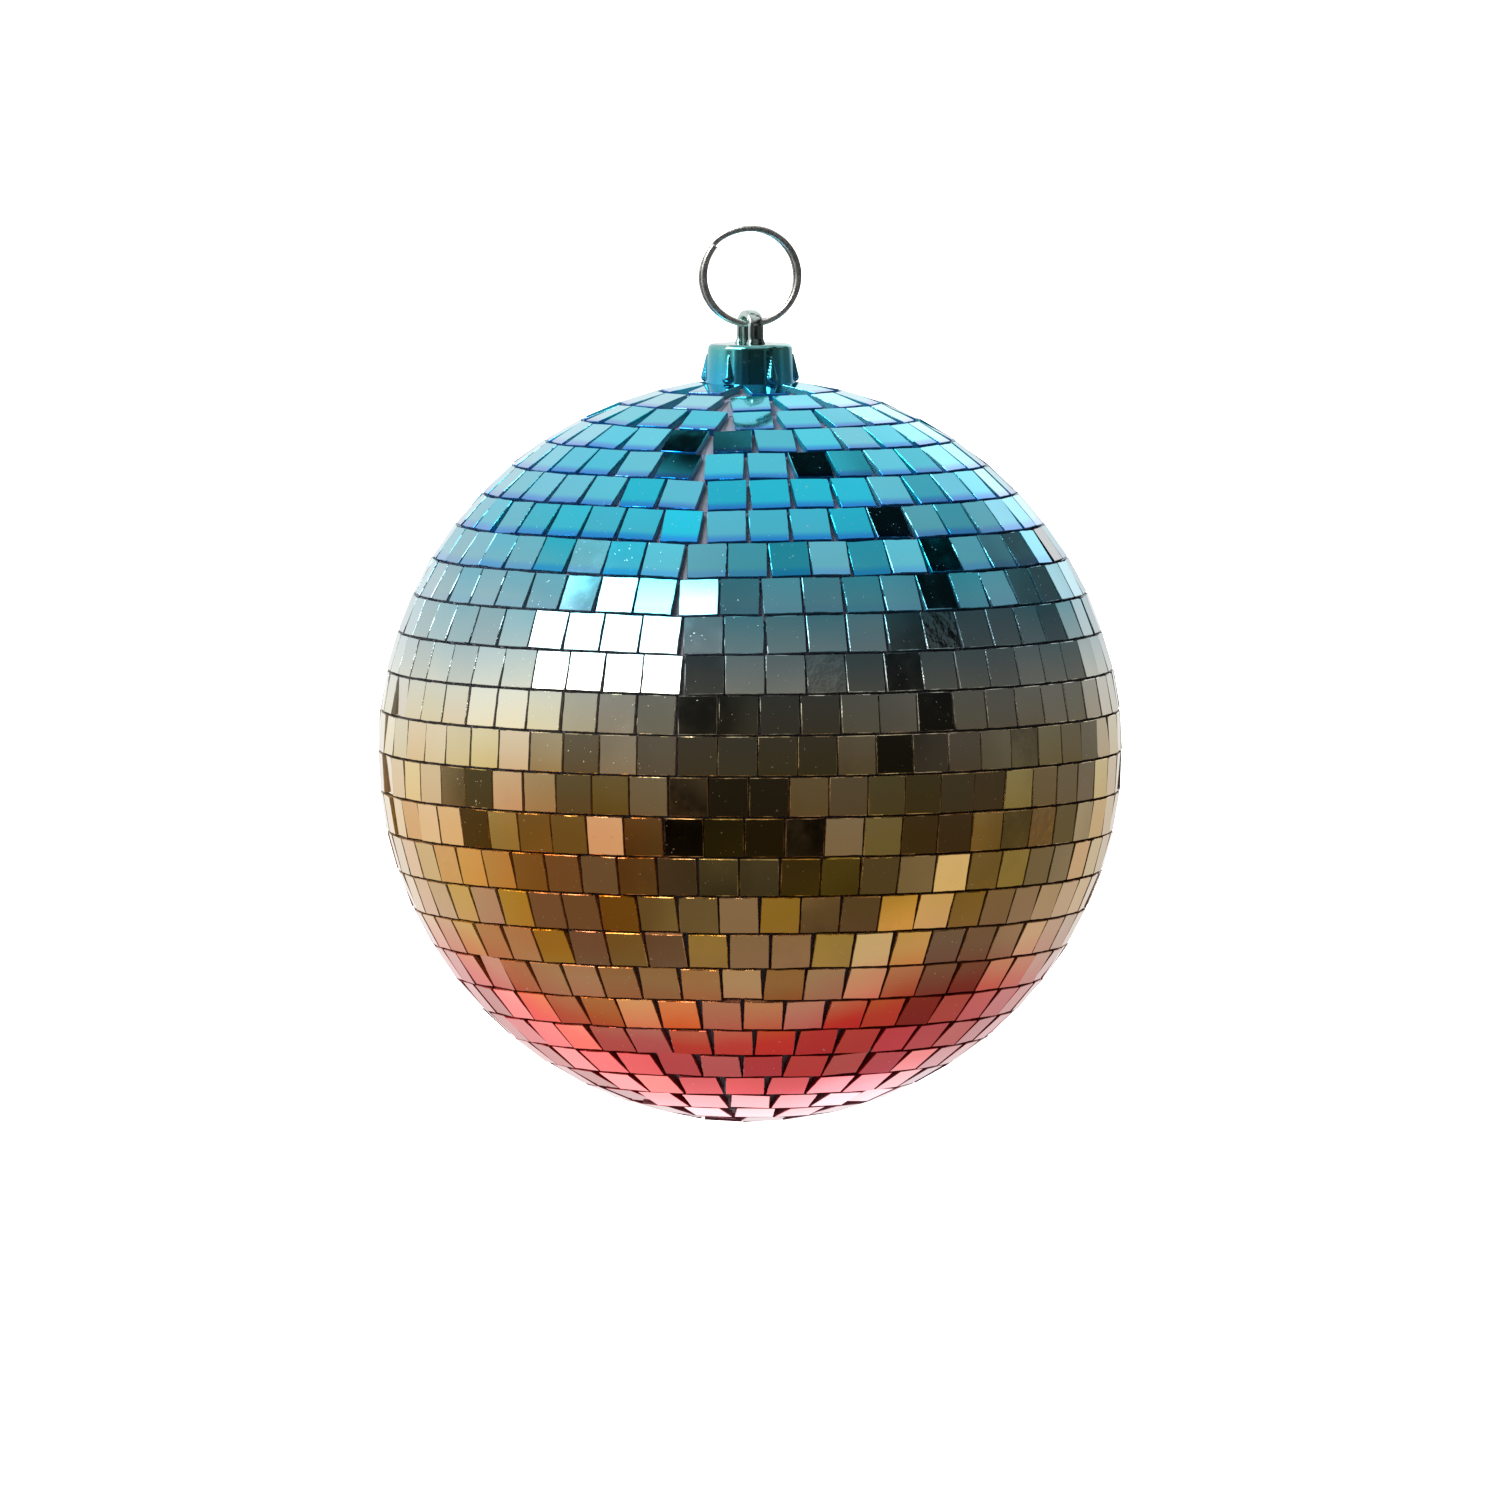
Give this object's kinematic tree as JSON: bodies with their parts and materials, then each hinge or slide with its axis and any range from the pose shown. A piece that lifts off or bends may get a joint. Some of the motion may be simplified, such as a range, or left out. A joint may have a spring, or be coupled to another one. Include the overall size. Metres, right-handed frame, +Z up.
{
  "type": "mirror ball",
  "caption": "Hanging mirror ball: a hollow core covered in rows of small square mirrors, blue fading through silver and gold to pink, with a plated cap, loop and split ring.",
  "frame": {"origin": "hang point: the inside of the split ring at its top, where a hook bears", "axes": "+Z up along the ball's upright axis, -Y towards the front, where the ring is seen nearly face-on"},
  "size_m": [0.1539, 0.1539, 0.1855],
  "materials": {
    "ring_steel": "nickel-plated spring steel, rubbed dull",
    "cap_plating": "bright plating under a sheer blue-green lacquer, deeper blue at the foot",
    "screw_steel": "zinc plated",
    "core_plastic": "dark moulded polystyrene",
    "backing_cloth": "fine plain weave, tinted by overspray",
    "mirror_blue": "silvered glass under sheer cyan-blue lacquer",
    "mirror_teal": "silvered glass, the blue lacquer thinning out",
    "mirror_silver": "silvered glass, almost bare, some tiles warm",
    "mirror_gold": "silvered glass under sheer gold lacquer",
    "mirror_red": "silvered glass under sheer orange-red lacquer",
    "mirror_pink": "silvered glass under sheer pink lacquer"
  },
  "bodies": {
    "hanging_ring": {"split_ring": "ring_steel"},
    "ball": {"cap": "cap_plating", "cap_screw": "screw_steel", "load_washer": "screw_steel", "core_upper_shell": "core_plastic", "core_lower_shell": "core_plastic", "upper_backing_strips": "backing_cloth", "lower_backing_strips": "backing_cloth", "tile_row_01": "mirror_blue", "tile_row_02": "mirror_blue", "tile_row_03": "mirror_blue", "tile_row_04": "mirror_blue", "tile_row_05": "mirror_blue", "tile_row_06": "mirror_blue", "tile_row_07": "mirror_blue", "tile_row_08": "mirror_blue", "tile_row_09": "mirror_teal", "tile_row_10": "mirror_teal", "tile_row_11": "mirror_silver", "tile_row_12": "mirror_silver", "tile_row_13": "mirror_silver", "tile_row_14": "mirror_silver", "tile_row_15": "mirror_silver", "tile_row_16": "mirror_gold", "tile_row_17": "mirror_gold", "tile_row_18": "mirror_gold", "tile_row_19": "mirror_gold", "tile_row_20": "mirror_gold", "tile_row_21": "mirror_red", "tile_row_22": "mirror_red", "tile_row_23": "mirror_red", "tile_row_24": "mirror_red", "tile_row_25": "mirror_pink", "tile_row_26": "mirror_pink", "bottom_tiles": "mirror_pink"}
  },
  "joints": [
    {"name": "ball_swing", "type": "hinge", "parent": "hanging_ring", "child": "ball", "pos_m": [0, 0, -0.0196], "axis": [0.891, 0.454, 0], "range_deg": [-92, 92]}
  ]
}
